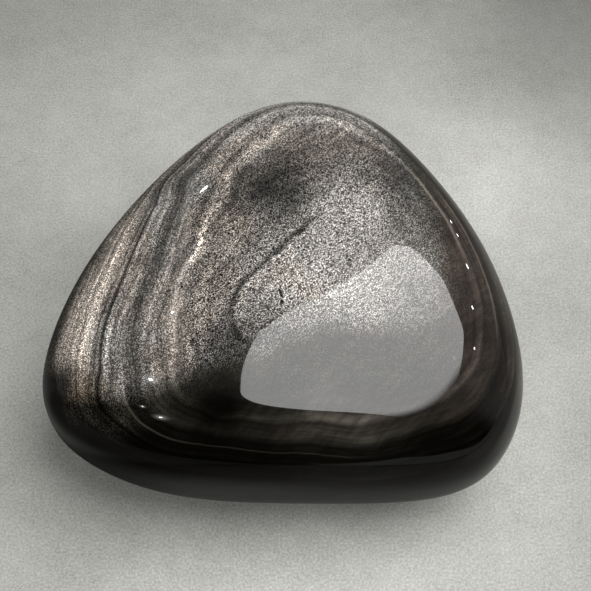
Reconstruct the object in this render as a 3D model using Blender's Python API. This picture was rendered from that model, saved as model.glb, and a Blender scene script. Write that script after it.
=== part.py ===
"""Silver obsidian freeform: one polished rounded-triangle stone with a flat underside.

Metres, +Z up. The stone rests on z = 0 and its bounding box is centred on x = y = 0.
-Y is the long, nearly straight front side and +Y the rounded apex.
"""

from math import cos, radians, sin

import bmesh
import bpy
import numpy as np

# Plan outline: straight sides that a high power rounds into one another.
# Each is (direction it faces in degrees from +X, distance from the centre in metres).
PLAN_SIDES = (
    (235, 0.0565),  # left front corner
    (270, 0.0475),  # front
    (325, 0.0605),  # right front corner
    (8, 0.0490),  # right
    (35, 0.0460),  # upper right
    (78, 0.0520),  # apex
    (122, 0.0460),  # upper left, near the apex
    (146, 0.0405),  # upper left
    (171, 0.0480),  # left
)
PLAN_POWER = 10.0  # higher makes the corners of the outline tighter

# Section: a gentle dome over a thick rounded edge, and a flatter bowl under it.
BELLY_HEIGHT = 0.0195  # height of the widest line over the flat underside
DOME_HEIGHT = 0.0235  # from the widest line up to the crown
BOWL_DEPTH = 0.0235  # from the widest line down, before the underside is ground flat
DOME_POWER = 2.65  # higher makes the dome flatter and its edge tighter
SOFTER_BY = 0.3  # taken off that power on the right, and added to it on the left
SOFTER_TOWARD = 20.0  # degrees from +X of the side whose edge is softest
BOWL_POWER = 2.3
BASE_BLEND = 0.0015  # height over which the flat underside runs into the bowl

DIVISIONS = 24  # squares along each side of the starting cube
FLATTEN = 0.55  # gathers the points toward the thick edge, where the curve is tightest


def plan_gauge(x, y):
    """How far out a point is: 1 on the widest outline, 0 at the centre."""
    total = 0.0
    for azimuth, distance in PLAN_SIDES:
        a = radians(azimuth)
        reach = np.maximum(0.0, x * cos(a) + y * sin(a)) / distance
        total = total + reach**PLAN_POWER
    return total ** (1.0 / PLAN_POWER)


def surface(directions):
    """The point of the stone's skin that each direction from its middle meets."""
    x, y, z = directions.T
    across = np.hypot(x, y) + 1e-12
    soft = radians(SOFTER_TOWARD)
    toward = (x * cos(soft) + y * sin(soft)) / across
    power = np.where(z > 0, DOME_POWER - SOFTER_BY * toward, BOWL_POWER)
    height = np.where(z > 0, DOME_HEIGHT, BOWL_DEPTH)
    gauge = (plan_gauge(x, y) ** power + (np.abs(z) / height) ** power) ** (1.0 / power)
    points = directions / gauge[:, None]
    points[:, 2] += BELLY_HEIGHT
    return points


def ground_flat(z):
    """Heights with everything under the base plane brought up to it through a soft curve."""
    blend = (z + BASE_BLEND) ** 2 / (4.0 * BASE_BLEND)
    return np.where(z >= BASE_BLEND, z, np.where(z <= -BASE_BLEND, 0.0, blend))


def stone_mesh():
    """A cube of even squares, pushed out onto the stone's skin."""
    form = bmesh.new()
    bmesh.ops.create_cube(form, size=2.0)
    bmesh.ops.subdivide_edges(
        form, edges=form.edges[:], cuts=DIVISIONS - 1, use_grid_fill=True
    )
    cube = np.array([v.co[:] for v in form.verts])
    spread = np.tan(cube * (np.pi / 4.0))  # even angles instead of even lengths
    directions = spread * (1.0, 1.0, FLATTEN) / np.linalg.norm(spread, axis=1)[:, None]
    points = surface(directions)
    points[:, 2] = ground_flat(points[:, 2])
    middle = (points[:, :2].min(axis=0) + points[:, :2].max(axis=0)) / 2.0
    points[:, :2] -= middle
    for vertex, point in zip(form.verts, points):
        vertex.co = point
    bmesh.ops.triangulate(form, faces=form.faces[:])
    bmesh.ops.recalc_face_normals(form, faces=form.faces[:])
    mesh = bpy.data.meshes.new("stone")
    form.to_mesh(mesh)
    form.free()
    return mesh


def stone_material():
    """Near-black volcanic glass with a silver sheen, polished."""
    material = bpy.data.materials.new("silver_sheen_obsidian")
    material.use_nodes = True
    shader = material.node_tree.nodes["Principled BSDF"]
    shader.inputs["Base Color"].default_value = (0.20, 0.19, 0.175, 1.0)
    shader.inputs["Metallic"].default_value = 0.6
    shader.inputs["Roughness"].default_value = 0.35
    shader.inputs["Coat Weight"].default_value = 1.0
    shader.inputs["Coat Roughness"].default_value = 0.03
    return material


def main():
    for old in list(bpy.data.objects):
        bpy.data.objects.remove(old, do_unlink=True)
    mesh = stone_mesh()
    mesh.materials.append(stone_material())
    stone = bpy.data.objects.new("stone", mesh)
    bpy.context.scene.collection.objects.link(stone)


main()
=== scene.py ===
"""Polished silver obsidian freeform: a mirror-glossy black glass stone with flowing silver sheen.

Metres, +Z up, on a plain pale floor in soft studio light.
"""

from math import cos, radians, sin

import bmesh
import bpy
import numpy as np
from mathutils import Euler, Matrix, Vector


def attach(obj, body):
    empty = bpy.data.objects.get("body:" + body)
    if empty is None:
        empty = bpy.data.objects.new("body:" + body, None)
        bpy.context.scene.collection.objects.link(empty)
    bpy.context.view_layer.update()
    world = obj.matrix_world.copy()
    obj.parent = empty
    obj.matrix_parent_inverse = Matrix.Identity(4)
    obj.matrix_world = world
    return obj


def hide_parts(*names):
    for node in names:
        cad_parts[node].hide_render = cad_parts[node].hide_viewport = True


MM = 0.001

# The camera looks along +Y and down onto the stone.
CAMERA_TARGET = Vector((2.3, -1.4, 19.5)) * MM
CAMERA_ELEVATION = 60.0  # degrees above the horizontal
CAMERA_DISTANCE = 232.5 * MM
CAMERA_ANGLE = 32.0  # degrees across the picture

# The stone's form, as in its solid. Each plan side is (azimuth in degrees, distance from the centre).
# The sides began as a least-squares fit to the photo's outline and were rounded and adjusted.
PLAN_SIDES = (
    (235, 56.5 * MM),
    (270, 47.5 * MM),
    (325, 60.5 * MM),
    (8, 49.0 * MM),
    (35, 46.0 * MM),
    (78, 52.0 * MM),
    (122, 46.0 * MM),
    (146, 40.5 * MM),
    (171, 48.0 * MM),
)
PLAN_POWER = 10.0
BELLY_HEIGHT = 19.5 * MM
DOME_HEIGHT = 23.5 * MM
BOWL_DEPTH = 23.5 * MM
DOME_POWER = 2.65
SOFTER_BY = 0.3
SOFTER_TOWARD = 20.0  # degrees
BOWL_POWER = 2.3
BASE_BLEND = 1.5 * MM
DIVISIONS = 104  # squares along each side of the starting cube
FLATTEN = 0.55

# Burst bubbles in the polish: (x, y in mm on the top, radius in mm, depth in mm).
PITS = (
    (-0.9, -13.6, 0.30, 0.40),
    (-0.7, -14.2, 0.32, 0.45),
    (-0.5, -14.8, 0.30, 0.40),
    (-0.4, -16.2, 0.38, 0.45),
    (13.4, -6.4, 0.28, 0.25),
    (-20.5, -12.6, 0.26, 0.25),
    (-21.3, 0.1, 0.20, 0.20),
)
PIT_ROUNDS = (2.4, 1.5, 1.0, 0.7)  # mm around a pit that each round of cuts reaches


def plan_gauge(x, y):
    """How far out a point is: 1 on the widest outline, 0 at the centre."""
    total = 0.0
    for azimuth, distance in PLAN_SIDES:
        a = radians(azimuth)
        reach = np.maximum(0.0, x * cos(a) + y * sin(a)) / distance
        total = total + reach**PLAN_POWER
    return total ** (1.0 / PLAN_POWER)


def skin(cube):
    """The point of the stone's skin that belongs to each point of the starting cube."""
    spread = np.tan(cube * (np.pi / 4.0))  # even angles instead of even lengths
    directions = spread * (1.0, 1.0, FLATTEN) / np.linalg.norm(spread, axis=1)[:, None]
    x, y, z = directions.T
    across = np.hypot(x, y) + 1e-12
    soft = radians(SOFTER_TOWARD)
    toward = (x * cos(soft) + y * sin(soft)) / across
    power = np.where(z > 0, DOME_POWER - SOFTER_BY * toward, BOWL_POWER)
    height = np.where(z > 0, DOME_HEIGHT, BOWL_DEPTH)
    gauge = (plan_gauge(x, y) ** power + (np.abs(z) / height) ** power) ** (1.0 / power)
    points = directions / gauge[:, None]
    z = points[:, 2] + BELLY_HEIGHT
    blend = (z + BASE_BLEND) ** 2 / (4.0 * BASE_BLEND)
    points[:, 2] = np.where(z >= BASE_BLEND, z, np.where(z <= -BASE_BLEND, 0.0, blend))
    return points


def coordinates(form):
    """Where the form's points lie, one row to a point."""
    return np.array([v.co[:] for v in form.verts])


def stone_form():
    """A cube of even squares, cut finer around each pit and pushed out onto the stone's skin."""
    form = bmesh.new()
    bmesh.ops.create_cube(form, size=2.0)
    bmesh.ops.subdivide_edges(form, edges=form.edges[:], cuts=DIVISIONS - 1, use_grid_fill=True)
    even = skin(coordinates(form))
    middle = (even[:, :2].min(axis=0) + even[:, :2].max(axis=0)) / 2.0
    pit_plan = np.array([pit[:2] for pit in PITS]) * MM
    for reach in PIT_ROUNDS:
        points = skin(coordinates(form))
        points[:, :2] -= middle
        apart = np.linalg.norm(points[:, None, :2] - pit_plan[None], axis=2).min(axis=1)
        near = (apart < reach * MM) & (points[:, 2] > BELLY_HEIGHT)
        edges = [e for e in form.edges if near[e.verts[0].index] and near[e.verts[1].index]]
        bmesh.ops.subdivide_edges(form, edges=edges, cuts=1, use_grid_fill=True)
        form.verts.index_update()
    bmesh.ops.triangulate(form, faces=form.faces[:])
    points = skin(coordinates(form))
    points[:, :2] -= middle
    return form, points


def press_pits(points):
    """Dents each pit into the dome and says how deep every point lies in one, from 0 to 1."""
    inside = np.zeros(len(points))
    for x, y, radius, depth in PITS:
        apart = np.hypot(points[:, 0] - x * MM, points[:, 1] - y * MM) / (radius * MM)
        bowl = np.where((apart < 1.0) & (points[:, 2] > BELLY_HEIGHT), 1.0 - apart**4, 0.0)
        points[:, 2] -= bowl * depth * MM
        inside = np.maximum(inside, bowl)
    return inside


def build_stone():
    """The polished stone, at the origin as its solid is."""
    form, points = stone_form()
    inside = press_pits(points)
    for vertex, point in zip(form.verts, points):
        vertex.co = point
    bmesh.ops.recalc_face_normals(form, faces=form.faces[:])
    mesh = bpy.data.meshes.new("polished_stone")
    form.to_mesh(mesh)
    form.free()
    depth = mesh.attributes.new("pit_depth", "FLOAT", "POINT")
    depth.data.foreach_set("value", inside.astype(np.float32))
    mesh.shade_smooth()
    mesh.materials.append(obsidian_material())
    stone = bpy.data.objects.new("polished_stone", mesh)
    bpy.context.scene.collection.objects.link(stone)
    return stone


class Nodes:
    """Short calls for adding and joining shader nodes in one tree."""

    def __init__(self, tree):
        self.tree = tree

    def add(self, kind, **values):
        """A new node with the given settings."""
        node = self.tree.nodes.new(kind)
        for name, value in values.items():
            setattr(node, name, value)
        return node

    def feed(self, socket, value):
        """Links a socket to the socket, or sets it to a number or a colour."""
        if isinstance(value, bpy.types.NodeSocket):
            self.tree.links.new(value, socket)
        else:
            socket.default_value = value

    def math(self, operation, *values):
        node = self.add("ShaderNodeMath", operation=operation)
        for socket, value in zip(node.inputs, values):
            self.feed(socket, value)
        return node.outputs[0]

    def total(self, *values):
        result = values[0]
        for value in values[1:]:
            result = self.math("ADD", result, value)
        return result

    def product(self, *values):
        result = values[0]
        for value in values[1:]:
            result = self.math("MULTIPLY", result, value)
        return result

    def smooth(self, value, low, high, to_low=0.0, to_high=1.0):
        """A soft step: to_low under low, to_high over high."""
        node = self.add("ShaderNodeMapRange", interpolation_type="SMOOTHSTEP")
        for name, given in (
            ("Value", value),
            ("From Min", low),
            ("From Max", high),
            ("To Min", to_low),
            ("To Max", to_high),
        ):
            self.feed(node.inputs[name], given)
        return node.outputs["Result"]

    def straight(self, value, low, high):
        """How far the value is on its way from low to high, from 0 to 1."""
        node = self.add("ShaderNodeMapRange")
        self.feed(node.inputs["Value"], value)
        node.inputs["From Min"].default_value = low
        node.inputs["From Max"].default_value = high
        return node.outputs["Result"]

    def spot(self, place, x, y, inner, outer, inside, outside=1.0):
        """A round patch seen from above: one value within its inner radius, another past its outer."""
        node = self.add("ShaderNodeGroup", node_tree=round_patch())
        self.feed(node.inputs["Place"], place)
        for name, given in (
            ("Middle", (x, y, 0.0)),
            ("Inner", inner),
            ("Outer", outer),
            ("Inside", inside),
            ("Outside", outside),
        ):
            node.inputs[name].default_value = given
        return node.outputs["Value"]

    def parts(self, vector):
        """The vector's X, Y and Z."""
        node = self.add("ShaderNodeSeparateXYZ")
        self.feed(node.inputs[0], vector)
        return node.outputs

    def dot(self, vector, direction):
        node = self.add("ShaderNodeVectorMath", operation="DOT_PRODUCT")
        self.feed(node.inputs[0], vector)
        node.inputs[1].default_value = direction
        return node.outputs["Value"]

    def scaled(self, vector, scale, turn=(0.0, 0.0, 0.0)):
        """The vector turned by degrees about X, Y and Z, and then scaled along each axis."""
        turned = vector
        if any(turn):
            node = self.add("ShaderNodeVectorRotate", rotation_type="EULER_XYZ")
            self.feed(node.inputs["Vector"], vector)
            node.inputs["Rotation"].default_value = [radians(a) for a in turn]
            turned = node.outputs[0]
        node = self.add("ShaderNodeVectorMath", operation="MULTIPLY")
        self.feed(node.inputs[0], turned)
        node.inputs[1].default_value = scale
        return node.outputs[0]

    def noise(self, vector, scale, detail=2.0, roughness=0.5):
        """Smooth noise from about 0 to 1, around 0.5."""
        node = self.add("ShaderNodeTexNoise")
        self.feed(node.inputs["Vector"], vector)
        self.feed(node.inputs["Scale"], scale)
        self.feed(node.inputs["Detail"], detail)
        self.feed(node.inputs["Roughness"], roughness)
        return node.outputs["Fac"]

    def layer_noise(self, vector, height, scale, detail=2.0):
        """Noise that runs along the layers: with a small vector it hardly changes along them."""
        node = self.add("ShaderNodeTexNoise", noise_dimensions="4D")
        self.feed(node.inputs["Vector"], vector)
        self.feed(node.inputs["W"], height)
        self.feed(node.inputs["Scale"], scale)
        self.feed(node.inputs["Detail"], detail)
        return node.outputs["Fac"]

    def specks(self, vector):
        """Small bright cores of random strength, one to a unit cell."""
        node = self.add("ShaderNodeTexVoronoi", feature="F1")
        self.feed(node.inputs["Vector"], vector)
        self.feed(node.inputs["Scale"], 1.0)
        split = self.add("ShaderNodeSeparateColor")
        self.tree.links.new(node.outputs["Color"], split.inputs[0])
        core = self.smooth(node.outputs["Distance"], 0.15, 0.8, 1.0, 0.0)
        return self.product(self.math("POWER", split.outputs[0], 1.5), core)

    def ramp(self, value, stops):
        """A grey level for each value, from stops of (value, level) between the first and last."""
        low, high = stops[0][0], stops[-1][0]
        node = self.add("ShaderNodeValToRGB")
        node.color_ramp.interpolation = "LINEAR"
        elements = node.color_ramp.elements
        while len(elements) < len(stops):
            elements.new(0.5)
        for element, (at, level) in zip(elements, stops):
            element.position = (at - low) / (high - low)
            element.color = (level, level, level, 1.0)
        self.feed(node.inputs[0], self.straight(value, low, high))
        return node.outputs["Color"]

    def blend(self, amount, first, second):
        """The colour first where amount is 0 and second where it is 1."""
        node = self.add("ShaderNodeMix", data_type="RGBA")
        self.feed(node.inputs[0], amount)
        self.feed(node.inputs[6], first)
        self.feed(node.inputs[7], second)
        return node.outputs[2]

    def tint(self, colour, level):
        """The colour multiplied by a grey level."""
        node = self.add("ShaderNodeVectorMath", operation="SCALE")
        self.feed(node.inputs[0], colour)
        self.feed(node.inputs["Scale"], level)
        return node.outputs[0]


def round_patch():
    """The node group that every material's round patches share, made the first time it is asked for."""
    group = bpy.data.node_groups.get("round_patch")
    if group:
        return group
    group = bpy.data.node_groups.new("round_patch", "ShaderNodeTree")
    for name, kind in (
        ("Place", "NodeSocketVector"),
        ("Middle", "NodeSocketVector"),
        ("Inner", "NodeSocketFloat"),
        ("Outer", "NodeSocketFloat"),
        ("Inside", "NodeSocketFloat"),
        ("Outside", "NodeSocketFloat"),
    ):
        group.interface.new_socket(name=name, in_out="INPUT", socket_type=kind)
    group.interface.new_socket(name="Value", in_out="OUTPUT", socket_type="NodeSocketFloat")
    n = Nodes(group)
    given = n.add("NodeGroupInput").outputs
    apart = n.add("ShaderNodeVectorMath", operation="DISTANCE")
    n.feed(apart.inputs[0], n.scaled(given["Place"], (1.0, 1.0, 0.0)))
    n.feed(apart.inputs[1], given["Middle"])
    value = n.smooth(
        apart.outputs["Value"], given["Inner"], given["Outer"], given["Inside"], given["Outside"]
    )
    n.feed(n.add("NodeGroupOutput").inputs["Value"], value)
    return group


# Sheen of the flow layers, by their height in mm from the lowest on the stone to the highest.
FLOW_STOPS = (
    (27.5, 0.05),
    (29.2, 0.12),
    (30.0, 0.28),
    (31.0, 0.28),
    (31.8, 0.38),
    (32.4, 0.38),
    (32.8, 0.29),
    (33.3, 0.37),
    (33.68, 0.60),
    (34.2, 0.35),
    (34.6, 0.50),
    (34.95, 0.80),
    (35.35, 0.54),
    (35.85, 0.48),
    (36.55, 0.16),
    (36.95, 0.30),
    (37.15, 0.06),
    (37.33, 0.05),
    (37.7, 0.50),
    (38.15, 0.21),
    (38.75, 0.32),
    (39.05, 0.15),
    (39.65, 0.07),
    (40.25, 0.25),
    (40.65, 0.21),
    (41.12, 0.13),
    (41.37, 0.40),
    (41.62, 0.17),
    (42.6, 0.17),
    (43.2, 0.225),
    (43.5, 0.22),
)
# How the flow layers lie: (mm added, power of x, power of y) for x and y in units of 10 mm.
# A least-squares fit to points read along the photo's bands gave these, rounded.
FLOW_TERMS = (
    (0.58, 1, 0),
    (0.32, 0, 1),
    (0.054, 2, 0),
    (0.084, 1, 1),
    (0.295, 0, 2),
    (0.047, 3, 0),
    (0.021, 2, 1),
    (-0.024, 1, 2),
    (-0.013, 0, 3),
)
# Soft hollows and rises in the layers: (x, y, radius) and height in mm.
FLOW_SWELLS = (
    (4.0, 24.0, 28.0, -2.0),
    (-10.0, -17.0, 14.0, 0.45),
    (-5.0, -8.0, 6.0, 0.15),
    (12.0, 13.0, 9.0, 0.15),
    (24.0, 7.0, 9.0, -0.2),
    (18.0, 29.0, 10.0, -0.3),
    (-13.0, 9.0, 8.0, -0.32),
    (-20.5, -10.0, 8.0, 0.2),
    (-22.0, -27.0, 8.0, -0.15),
    (-31.0, -30.0, 6.0, -0.25),
    (-30.0, -39.0, 6.0, 0.25),
    (-38.0, -36.5, 9.0, 1.2),
    (-25.5, 17.0, 8.0, 0.9),
    (-13.0, -46.0, 15.0, -0.75),
    (-12.0, -39.5, 5.0, 0.3),
    (16.0, -48.0, 16.0, 1.3),
)
# Where the sheen is weaker or stronger: (x, y, radius) in mm and what the sheen is times.
# Partly a flow with fewer or more bubbles, partly painted light: sheen brightened round the big
# reflection and on the low front, where a reflection lies, and dimmed low at the front and at the right.
BUBBLE_AND_PAINTED_PATCHES = (
    (-2.0, 12.5, 10.0, 0.14),
    (-9.0, 9.0, 6.0, 0.6),
    (5.0, 23.0, 11.0, 0.52),
    (18.0, 26.0, 8.0, 0.5),
    (-9.5, 17.0, 4.0, 0.75),
    (33.0, -4.0, 6.5, 1.6),
    (24.0, 19.0, 8.0, 0.6),
    (28.0, 8.0, 9.0, 0.55),
    (22.0, 2.0, 5.0, 0.75),
    (6.0, -3.0, 6.0, 0.8),
    (-16.5, 12.0, 5.0, 0.75),
    (-11.0, -25.0, 6.5, 0.42),
    (-5.5, -19.5, 6.0, 0.6),
    (16.0, 7.0, 6.0, 1.15),
    (18.0, -12.0, 7.0, 1.2),
    (-9.0, -4.0, 4.5, 1.2),
    (-22.0, -2.0, 5.0, 1.25),
    (-13.0, -36.0, 7.5, 0.12),
    (-20.0, -30.0, 3.5, 0.7),
    (-5.0, 11.0, 4.0, 0.75),
    (16.5, 18.0, 3.5, 0.75),
    (-45.5, -31.0, 6.5, 0.04),
    (-38.0, -36.0, 7.0, 0.3),
    (-28.5, 4.0, 4.5, 0.65),
    (-35.5, 5.0, 4.0, 1.35),
    (44.0, -20.0, 9.0, 0.35),
    (43.0, -31.0, 7.0, 0.25),
    (13.0, -41.0, 13.0, 2.7),
)
PATCH_DRIFT = 5.0  # mm that slow noise moves a patch's edge about

# Painted sheen: the surface is brightest where it faces these sides, as under one light.
PAINTED_SHEEN_TOWARD = (-0.455, 0.542, 0.707)  # the side that the main sheen faces
PAINTED_FAINT_TOWARD = (0.66, 0.25, 0.707)  # the side that the faint sheen faces
STEEP_TURN = 15.0  # degrees that the grain on the left is turned
LEANING_TURN = -44.0  # degrees that the grain in the middle is turned

# Thin bright layers: height of the layer and half its thickness, in mm.
LOW_LAYER = (38.84, 0.13)
UPPER_LAYER = (41.45, 0.18)
SIDE_LAYER = (40.15, 0.18)

# The seam runs straight and then bends round a corner. All in mm, seen from above.
SEAM_ALONG = (0.682, 0.731, 0.0)
SEAM_ACROSS = (-0.731, 0.682, 0.0)
BEND_ALONG = -8.0  # where the corner's middle lies along the seam
BEND_ACROSS = -14.0  # and across it
BEND_LENGTH = 15.0  # from that middle to the line, along the seam
BEND_WIDTH = 12.0  # and across it

COOL_SILVER = (0.98, 0.93, 0.87, 1.0)
WARM_SILVER = (1.0, 0.88, 0.77, 1.0)
OLIVE_STAIN = (1.00, 0.95, 0.72, 1.0)
TAN_STAIN = (1.04, 0.91, 0.76, 1.0)
RUSTY_STAIN = (1.12, 0.87, 0.70, 1.0)
BRONZE = (1.07, 0.85, 0.54, 1.0)
GLASS = (0.0008, 0.0007, 0.0005)  # the glass itself, nearly black


def flow_height(n, place):
    """Height of the flow layer that each point lies in, in mm."""
    x, y, height = n.parts(n.scaled(place, (0.1, 0.1, 1.0)))
    for amount, x_power, y_power in FLOW_TERMS:
        height = n.total(height, n.product(*[x] * x_power, *[y] * y_power, amount))
    for at_x, at_y, radius, swell in FLOW_SWELLS:
        height = n.total(height, n.spot(place, at_x, at_y, 0.0, radius, swell, 0.0))
    quick = n.product(n.math("SUBTRACT", n.noise(place, 0.13, 1.0), 0.5), 0.16)
    small = n.product(n.math("SUBTRACT", n.noise(place, 0.6, 2.0), 0.5), 0.12)
    return n.total(height, quick, small)


def sheen_grain(n, place):
    """Silver specks around 1, drawn out along the flow: steep on the left and leaning in the middle.

    They are fainter under the big reflection and at the far right.
    """
    steep = n.specks(n.scaled(place, (6.4, 4.4, 5.0), (0.0, 0.0, STEEP_TURN)))
    steep = n.math("MULTIPLY_ADD", steep, 5.6, 0.26)
    leaning = n.specks(n.scaled(place, (4.2, 7.4, 6.0), (0.0, 0.0, LEANING_TURN)))
    leaning = n.product(n.math("POWER", leaning, 1.2), 9.6)
    x = n.parts(place)["X"]
    middle = n.smooth(x, -23.0, -18.0)
    grain = n.total(n.product(steep, n.math("SUBTRACT", 1.0, middle)), n.product(leaning, middle))
    calm = n.product(n.smooth(x, 31.0, 38.0, 1.0, 0.3), n.spot(place, 22.0, -10.0, 7.0, 16.0, 0.8))
    return n.math("MULTIPLY_ADD", n.math("SUBTRACT", grain, 1.0), calm, 1.0)


def thin_layers(n, place, height):
    """Thin bright layers in the dark glass, at the low left front and down the right side."""
    x, y, _ = n.parts(place)
    low = n.product(n.smooth(x, -27.0, -15.0, 0.028, 0.011), n.smooth(x, 9.0, 20.0, 1.0, 0.0))
    low = n.product(low, n.smooth(y, -31.0, -25.0, 1.0, 0.0))
    upper = n.product(n.smooth(x, 27.0, 31.0, 0.0, 0.09), n.smooth(y, -4.0, 5.0))
    side = n.product(n.smooth(x, 32.0, 36.0, 0.0, 0.07), n.smooth(y, -24.0, -10.0))
    lines = []
    for (level, half), strength in ((LOW_LAYER, low), (UPPER_LAYER, upper), (SIDE_LAYER, side)):
        apart = n.math("ABSOLUTE", n.math("SUBTRACT", height, level))
        lines.append(n.product(n.smooth(apart, 0.03, half, 1.0, 0.0), strength))
    return n.total(*lines)


def dark_seam(n, place):
    """What the sheen is times along the seam: a thin dark line that bends round at its low end.

    The flow is brighter on the seam's inner side, and the line fades out at its high end.
    """
    along = n.dot(place, SEAM_ALONG)
    across = n.dot(place, SEAM_ACROSS)
    low = n.math("MULTIPLY_ADD", along, -1.0 / BEND_LENGTH, BEND_ALONG / BEND_LENGTH)
    side = n.math("MULTIPLY_ADD", across, 1.0 / BEND_WIDTH, -BEND_ACROSS / BEND_WIDTH)
    cubes = [n.math("POWER", n.math("MAXIMUM", reach, 0.0), 3.0) for reach in (low, side)]
    bend = n.math("MULTIPLY_ADD", n.math("POWER", n.total(*cubes), 1.0 / 3.0), BEND_WIDTH, -BEND_WIDTH)
    waver = n.product(n.math("SUBTRACT", n.noise(place, 0.30, 2.0), 0.5), 1.2)
    away = n.math("ADD", bend, waver)
    line = n.smooth(n.math("ABSOLUTE", n.math("SUBTRACT", away, 0.1)), 0.1, 1.0, 0.28, 1.0)
    step = n.smooth(away, -1.2, 0.4, 1.15, 0.75)
    strength = n.product(n.smooth(along, 4.0, 12.0, 1.0, 0.0), n.smooth(across, -15.0, -10.0))
    change = n.math("SUBTRACT", n.product(line, step), 1.0)
    return n.math("MULTIPLY_ADD", change, strength, 1.0)


def bubbles_and_painted_light(n, place):
    """How strong the sheen is, around 1, from slow noise and the named patches: partly a flow richer or
    poorer in bubbles, partly painted light.
    """
    shift = n.add("ShaderNodeTexNoise")
    n.feed(shift.inputs["Vector"], place)
    shift.inputs["Scale"].default_value = 0.14
    wavy = n.add("ShaderNodeVectorMath", operation="MULTIPLY_ADD")
    n.feed(wavy.inputs[0], shift.outputs["Color"])
    wavy.inputs[1].default_value = (PATCH_DRIFT, PATCH_DRIFT, 0.0)
    n.feed(wavy.inputs[2], place)
    result = n.smooth(n.noise(place, 0.12, 3.0), 0.3, 0.7, 0.8, 1.2)
    usual = PATCH_DRIFT / 2.0
    for x, y, radius, factor in BUBBLE_AND_PAINTED_PATCHES:
        spot = n.spot(wavy.outputs[0], x + usual, y + usual, radius * 0.2, radius * 1.3, factor)
        result = n.product(result, spot)
    return result


def painted_sheen_mask(n, place, normal):
    """Painted sheen: how bright the sheen is by which way the surface faces and where it lies, set for
    one light; the main one back and left, and the faint one low or to the right.
    """
    wave = n.product(n.math("SUBTRACT", n.noise(place, 0.09, 3.0), 0.5), 0.10)
    x, y, _ = n.parts(place)
    wider = n.smooth(x, -28.0, -10.0, 0.09, 0.0)
    toward = n.total(n.dot(normal, PAINTED_SHEEN_TOWARD), wave, wider)
    main = n.product(n.smooth(toward, 0.48, 0.68), n.smooth(toward, 0.98, 1.06, 1.0, 0.5))
    slanted = n.total(y, n.product(n.math("MINIMUM", x, 8.0), -0.36), n.product(wave, 20.0))
    main = n.product(main, n.smooth(slanted, -28.5, -20.5))
    lowest = n.smooth(x, -10.0, 4.0, -33.0, -45.0)
    below = n.product(n.smooth(slanted, lowest, -24.0), n.smooth(toward, 0.1, 0.5, 0.0, 0.08))
    aside = n.math("ADD", n.dot(normal, PAINTED_FAINT_TOWARD), wave)
    faint = n.smooth(aside, 0.74, 0.92, 0.0, 0.10)
    return main, n.math("MAXIMUM", below, faint)


def flow_streaks(n, place, x, height):
    """Fine streaks around 1, along the layers and along the grain, calmer near the middle."""
    fine = n.layer_noise(n.scaled(place, (0.02, 0.02, 0.02)), height, 5.0, 2.0)
    brushed = n.noise(n.scaled(place, (0.16, 0.9, 0.5), (0.0, 0.0, LEANING_TURN)), 1.0, 3.0)
    middle = n.smooth(x, -26.0, -12.0)
    streaks = n.product(
        n.smooth(fine, 0.3, 0.7, n.math("MULTIPLY_ADD", middle, 0.25, 0.5), 1.4),
        n.smooth(brushed, 0.3, 0.7, n.math("MULTIPLY_ADD", middle, -0.25, 0.95), 1.2),
    )
    even = n.spot(place, 14.0, -6.0, 12.0, 28.0, 0.15)
    return n.math("MULTIPLY_ADD", n.math("SUBTRACT", streaks, 1.0), even, 1.0)


def sheen_tone(n, place, x, height, main):
    """The sheen's hue: cool to warm silver where it is bright, and stained glass where it is faint."""
    left = n.smooth(x, -38.0, 0.0, 0.28, -0.12)
    slow = n.noise(n.scaled(place, (0.06, 0.06, 0.12)), 1.0, 1.0)
    cold = n.smooth(height, 36.0, 37.4, 0.06, -0.14)
    rich = n.product(n.smooth(height, 39.8, 41.6, 0.0, 0.26), n.smooth(height, 42.2, 43.0, 1.0, 0.35))
    warm = n.smooth(n.total(slow, left, cold, rich), 0.35, 0.70)
    silver = n.blend(warm, COOL_SILVER, WARM_SILVER)
    brown = n.spot(place, -42.0, -40.0, 3.0, 14.0, 1.0, 0.0)
    silver = n.blend(brown, silver, BRONZE)
    layers = n.layer_noise(n.scaled(place, (0.03, 0.03, 0.03)), height, 0.9, 1.0)
    stained = n.blend(n.smooth(layers, 0.4, 0.6), OLIVE_STAIN, TAN_STAIN)
    stained = n.blend(n.smooth(x, 26.0, 38.0), stained, RUSTY_STAIN)
    return n.blend(n.smooth(main, 0.0, 0.6), stained, silver)


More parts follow.
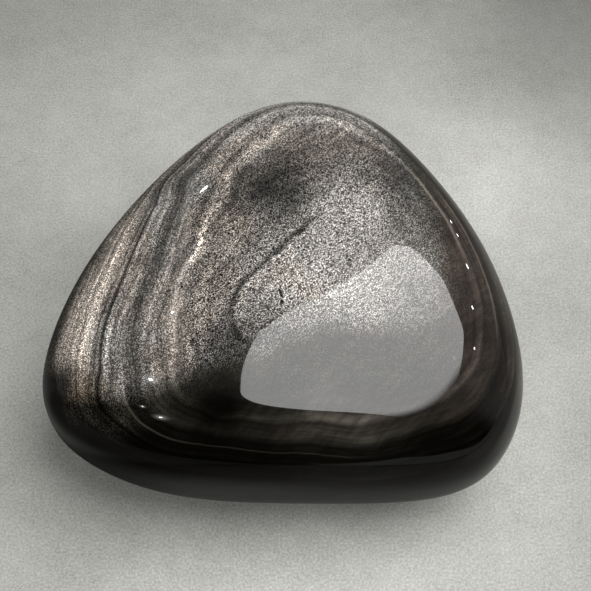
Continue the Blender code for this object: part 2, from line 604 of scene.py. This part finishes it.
def obsidian_material():
    """Black glass with flow layers of silver bubbles under a mirror polish."""
    material = bpy.data.materials.new("silver_obsidian")
    material.use_nodes = True
    n = Nodes(material.node_tree)
    shader = material.node_tree.nodes["Principled BSDF"]
    where = n.add("ShaderNodeTexCoord")
    place = n.scaled(where.outputs["Object"], (1000.0, 1000.0, 1000.0))
    x = n.parts(place)["X"]
    height = flow_height(n, place)

    # Painted sheen, bright where the surface faces one side, as under one light.
    main, faint = painted_sheen_mask(n, place, where.outputs["Normal"])
    lit = n.math("MAXIMUM", main, faint)
    deep = n.smooth(height, 38.5, 41.0, 0.005, 0.06)
    shown = n.math("ADD", n.product(lit, sheen_grain(n, place)), deep)
    bands = n.product(n.ramp(height, FLOW_STOPS), dark_seam(n, place))
    streaks = flow_streaks(n, place, x, height)
    # Sheen partly richer or poorer in bubbles, partly painted light.
    patches = bubbles_and_painted_light(n, place)
    sheen = n.math("ADD", n.product(bands, streaks, patches, shown), thin_layers(n, place, height))
    glass = n.add("ShaderNodeVectorMath", operation="ADD")
    n.feed(glass.inputs[0], n.tint(sheen_tone(n, place, x, height, main), sheen))
    glass.inputs[1].default_value = GLASS

    pit = n.add("ShaderNodeAttribute", attribute_name="pit_depth")
    # Darker inside the pits: the base colour goes nearly black there.
    pit_darkening = n.smooth(pit.outputs["Fac"], 0.05, 0.6, 1.0, 0.02)
    n.feed(shader.inputs["Base Color"], n.tint(glass.outputs[0], pit_darkening))
    n.feed(shader.inputs["Metallic"], n.product(lit, 0.06))
    shader.inputs["Roughness"].default_value = 0.36
    shader.inputs["Specular IOR Level"].default_value = 0.0
    shader.inputs["Coat Weight"].default_value = 1.0
    shader.inputs["Coat Roughness"].default_value = 0.02
    shader.inputs["Coat IOR"].default_value = 1.45
    bump = n.add("ShaderNodeBump")
    bump.inputs["Strength"].default_value = 0.25
    bump.inputs["Distance"].default_value = 0.02 * MM
    n.feed(bump.inputs["Height"], shown)
    n.feed(shader.inputs["Normal"], bump.outputs["Normal"])
    return material


# Painted pools of light and shade on the floor: (x, y, inner and outer radius) in m and what its colour
# is times.
PAINTED_FLOOR_POOLS = (
    (0.088, 0.105, 0.01, 0.08, 0.66),
    (0.058, 0.046, 0.0, 0.04, 1.25),
    (-0.072, 0.020, 0.0, 0.04, 0.86),
    (-0.002, -0.075, 0.0, 0.06, 1.28),
)
DARK_PAPER = (0.20, 0.20, 0.17, 1.0)
PALE_PAPER = (0.77, 0.77, 0.74, 1.0)


def painted_floor_light(n, place, x, y):
    """Painted light and shade on the floor, around 1: pooled in front and to the right, duller at the
    back and the sides.
    """
    back = n.smooth(y, 0.05, 0.14, 1.0, 0.61)
    left = n.smooth(x, -0.12, 0.02, 0.77, 1.0)
    right = n.smooth(x, 0.052, 0.075, 1.0, 0.84)
    pools = [n.spot(place, *pool) for pool in PAINTED_FLOOR_POOLS]
    return n.product(back, left, right, *pools)


def mirrored_share(n, place, x, y):
    """Painted shade on the floor that only the polish shows: how much of the floor's brightness the
    stone's polish mirrors, by where on the floor it lies.
    """
    near = n.smooth(n.dot(place, (0.7, 0.7, 0.0)), -0.045, 0.0, 0.24, 0.47)
    near_right = n.spot(place, 0.090, -0.032, 0.010, 0.045, 2.1)
    far_left = n.smooth(x, -0.05, -0.015, 0.3, 1.0)
    lift = n.product(n.smooth(x, -0.063, -0.050, 3.0, 0.0), n.smooth(y, -0.02, 0.01, 1.0, 0.0))
    in_front = n.product(n.smooth(y, -0.035, -0.020, 1.0, 0.0), n.smooth(x, -0.015, 0.030, 1.0, 0.0))
    close = n.math("SUBTRACT", n.spot(place, 0.0, 0.0, 0.058, 0.100, 1.7, 0.45), 1.0)
    close = n.math("MULTIPLY_ADD", close, in_front, 1.0)
    return n.product(near, near_right, far_left, n.math("ADD", lift, 1.0), close)


def floor_material():
    """Pale matt paper, faintly mottled, with painted pools of light and shade.

    The polish mirrors it dimmer than it is, a painted shade as if the light fell off farther away.
    """
    material = bpy.data.materials.new("pale_floor")
    material.use_nodes = True
    n = Nodes(material.node_tree)
    shader = material.node_tree.nodes["Principled BSDF"]
    place = n.add("ShaderNodeTexCoord").outputs["Object"]
    x, y, _ = n.parts(place)
    coarse = n.noise(place, 45.0, 3.0)
    middle = n.noise(place, 260.0)
    fibres = n.noise(place, 2000.0, 3.0, 0.7)
    mottle = n.total(n.product(coarse, 0.35), n.product(middle, 0.17), n.product(fibres, 1.25), -0.385)
    # Painted shade, seen only in the polish.
    dimmer = n.math("SUBTRACT", mirrored_share(n, place, x, y), 1.0)
    path = n.add("ShaderNodeLightPath")
    mirrored = n.math("MULTIPLY_ADD", path.outputs["Is Glossy Ray"], dimmer, 1.0)
    # Painted light and shade: pools on the floor, and a dimmer floor in the polish.
    level = n.product(painted_floor_light(n, place, x, y), mirrored)
    n.feed(shader.inputs["Base Color"], n.tint(n.blend(mottle, DARK_PAPER, PALE_PAPER), level))
    shader.inputs["Roughness"].default_value = 0.85
    shader.inputs["Specular IOR Level"].default_value = 0.2
    return material


def build_floor():
    """A wide plain floor, a hair under the stone."""
    form = bmesh.new()
    bmesh.ops.create_grid(form, x_segments=1, y_segments=1, size=1.5)
    bmesh.ops.translate(form, verts=form.verts[:], vec=(0.0, 0.0, -0.05 * MM))
    mesh = bpy.data.meshes.new("floor")
    form.to_mesh(mesh)
    form.free()
    mesh.materials.append(floor_material())
    floor = bpy.data.objects.new("floor", mesh)
    bpy.context.scene.collection.objects.link(floor)


# The big soft panel over the stone, as its polish shows it: corners in m at the panel's height.
# Points read round the photo's big reflection were mirrored in the stone's skin to give these.
PANEL_HEIGHT = 1.0
PANEL_CORNERS = (
    (-0.072, -0.36),
    (-0.064, -0.06),
    (-0.036, 0.20),
    (0.05, 0.395),
    (0.57, 0.88),
    (0.78, 1.01),
    (1.13, 1.05),
    (1.25, 0.66),
    (0.93, 0.02),
    (0.50, -0.52),
    (0.34, -0.64),
    (0.02, -0.49),
)
PANEL_ROUNDING = 0.08
PANEL_GLOW = 6.4


def panel_material():
    """Even light that fades toward the panel's front right side."""
    material = bpy.data.materials.new("panel_glow")
    material.use_nodes = True
    material.node_tree.nodes.clear()
    n = Nodes(material.node_tree)
    place = n.add("ShaderNodeTexCoord").outputs["Object"]
    glow = n.add("ShaderNodeEmission")
    right = n.smooth(n.dot(place, (-0.742, 0.670, 0.0)), -0.69, -0.56, 0.0, PANEL_GLOW)
    low = n.smooth(n.dot(place, (-0.25, 1.0, 0.0)), -0.74, -0.56, 0.1, 1.0)
    n.feed(glow.inputs["Strength"], n.product(right, low))
    out = n.add("ShaderNodeOutputMaterial")
    n.tree.links.new(glow.outputs[0], out.inputs[0])
    return material


# Small far lamps that glint in the polish: place in m, and radius over distance.
LAMPS = (
    ((0.916, 0.254, 1.0), 0.004),
    ((1.509, 0.561, 1.0), 0.007),
    ((2.046, 1.352, 1.0), 0.008),
    ((2.60, 2.27, 0.65), 0.008),
    ((1.72, 1.81, 0.14), 0.005),
    ((1.64, 1.89, 0.03), 0.005),
    ((-0.612, 1.46, 1.0), 0.012),
    ((-0.287, 0.345, 1.0), 0.007),
    ((-0.419, -0.179, 1.0), 0.09),
    ((-0.598, -0.591, 1.0), 0.035),
    ((-0.525, -0.79, 1.0), 0.075),
)
LAMP_GLOW = 60.0
SMALL_LAMP = 0.015  # radius over distance under which a lamp glows all over


def only_mirrored(thing):
    """Seen in the polish alone: it lights nothing and the camera doesn't meet it."""
    thing.visible_camera = False
    thing.visible_diffuse = False
    thing.visible_shadow = False


def build_panel():
    """The panel's outline with its corners rounded."""
    form = bmesh.new()
    for x, y in PANEL_CORNERS:
        form.verts.new((x, y, PANEL_HEIGHT))
    bmesh.ops.contextual_create(form, geom=form.verts[:])
    bmesh.ops.bevel(
        form,
        geom=form.verts[:],
        offset=PANEL_ROUNDING,
        affect="VERTICES",
        segments=6,
        profile=0.5,
        material=-1,
    )
    mesh = bpy.data.meshes.new("soft_panel")
    form.to_mesh(mesh)
    form.free()
    mesh.materials.append(panel_material())
    panel = bpy.data.objects.new("soft_panel", mesh)
    bpy.context.scene.collection.objects.link(panel)
    only_mirrored(panel)


def lamp_material():
    """Light that is strong at a lamp's middle and soft around it, or strong all over a small lamp."""
    material = bpy.data.materials.new("lamp_glow")
    material.use_nodes = True
    material.node_tree.nodes.clear()
    n = Nodes(material.node_tree)
    middle = n.add("ShaderNodeAttribute", attribute_name="middle").outputs["Fac"]
    halo = n.product(n.math("POWER", middle, 3.0), 9.0)
    core = n.smooth(middle, 0.86, 0.92, 0.0, LAMP_GLOW)
    small = n.add("ShaderNodeAttribute", attribute_name="small").outputs["Fac"]
    glow = n.add("ShaderNodeEmission")
    n.feed(glow.inputs["Strength"], n.total(halo, core, n.product(small, LAMP_GLOW)))
    out = n.add("ShaderNodeOutputMaterial")
    n.tree.links.new(glow.outputs[0], out.inputs[0])
    return material


def build_lamp(number, place, spread, material):
    """A round lamp that faces the stone, with how near each point is to its middle, from 0 to 1."""
    form = bmesh.new()
    away = Vector(place)
    size = spread * away.length
    bmesh.ops.create_circle(form, cap_ends=True, cap_tris=True, segments=16, radius=size)
    middle = [1.0 - v.co.length / size for v in form.verts]
    turn = (-away).to_track_quat("Z", "Y").to_matrix()
    bmesh.ops.rotate(form, verts=form.verts[:], cent=(0.0, 0.0, 0.0), matrix=turn)
    bmesh.ops.translate(form, verts=form.verts[:], vec=away)
    mesh = bpy.data.meshes.new(f"lamp_{number}")
    form.to_mesh(mesh)
    form.free()
    mesh.attributes.new("middle", "FLOAT", "POINT").data.foreach_set("value", middle)
    small = [float(spread < SMALL_LAMP)] * len(middle)
    mesh.attributes.new("small", "FLOAT", "POINT").data.foreach_set("value", small)
    mesh.materials.append(material)
    lamp = bpy.data.objects.new(f"lamp_{number}", mesh)
    bpy.context.scene.collection.objects.link(lamp)
    only_mirrored(lamp)


def build_light(name, place, size, energy):
    """A soft round light aimed at the stone, which its polish doesn't mirror."""
    light = bpy.data.lights.new(name, "AREA")
    light.shape = "DISK"
    light.size = size
    light.energy = energy
    lamp = bpy.data.objects.new(name, light)
    lamp.location = place
    lamp.rotation_euler = (-lamp.location).to_track_quat("-Z", "Y").to_euler()
    lamp.visible_glossy = False
    lamp.visible_camera = False
    bpy.context.scene.collection.objects.link(lamp)


AIR = (0.26, 0.26, 0.25, 1.0)
DARK_AIR = (0.005, 0.005, 0.005, 1.0)
LOW_AIR = (0.28, 0.28, 0.27, 1.0)


def build_world():
    """Even grey air, dark on the camera's side except for a low grey zone at the right."""
    world = bpy.data.worlds.new("studio")
    bpy.context.scene.world = world
    world.use_nodes = True
    n = Nodes(world.node_tree)
    background = world.node_tree.nodes["Background"]
    x, y, z = n.parts(n.add("ShaderNodeTexCoord").outputs["Generated"])
    air = n.blend(n.smooth(y, -0.40, 0.0), DARK_AIR, AIR)
    limit = n.product(n.smooth(x, 0.03, 0.25, 0.0, 0.18), n.smooth(x, 0.5, 0.95, 1.0, 0.2))
    low = n.product(n.smooth(n.math("SUBTRACT", z, limit), -0.01, 0.03, 1.0, 0.0), n.smooth(x, 0.0, 0.1))
    n.feed(background.inputs["Color"], n.blend(low, air, LOW_AIR))
    background.inputs["Strength"].default_value = 1.0


def build_camera():
    data = bpy.data.cameras.new("camera")
    data.sensor_fit = "HORIZONTAL"
    data.angle = radians(CAMERA_ANGLE)
    data.clip_start = 0.01
    camera = bpy.data.objects.new("camera", data)
    tilt = radians(CAMERA_ELEVATION)
    camera.location = CAMERA_TARGET + Vector((0.0, -cos(tilt), sin(tilt))) * CAMERA_DISTANCE
    camera.rotation_euler = Euler((radians(90.0 - CAMERA_ELEVATION), 0.0, 0.0))
    bpy.context.scene.collection.objects.link(camera)
    bpy.context.scene.camera = camera


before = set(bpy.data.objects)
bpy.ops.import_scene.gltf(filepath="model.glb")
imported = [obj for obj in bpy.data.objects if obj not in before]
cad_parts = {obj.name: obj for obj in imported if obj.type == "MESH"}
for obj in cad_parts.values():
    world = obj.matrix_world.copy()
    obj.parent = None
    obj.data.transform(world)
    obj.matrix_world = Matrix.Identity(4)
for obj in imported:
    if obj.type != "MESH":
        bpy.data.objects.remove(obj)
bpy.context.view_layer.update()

bpy.context.scene.view_settings.view_transform = "Standard"
build_camera()
build_world()
build_floor()
build_panel()
build_light("soft_light", (0.45, 0.12, 1.0), 1.0, 12.0)
build_light("front_fill", (-0.15, -0.75, 0.60), 0.8, 3.0)
glow = lamp_material()
for number, (place, spread) in enumerate(LAMPS):
    build_lamp(number, place, spread, glow)
stone = build_stone()
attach(stone, "root")
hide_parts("stone")
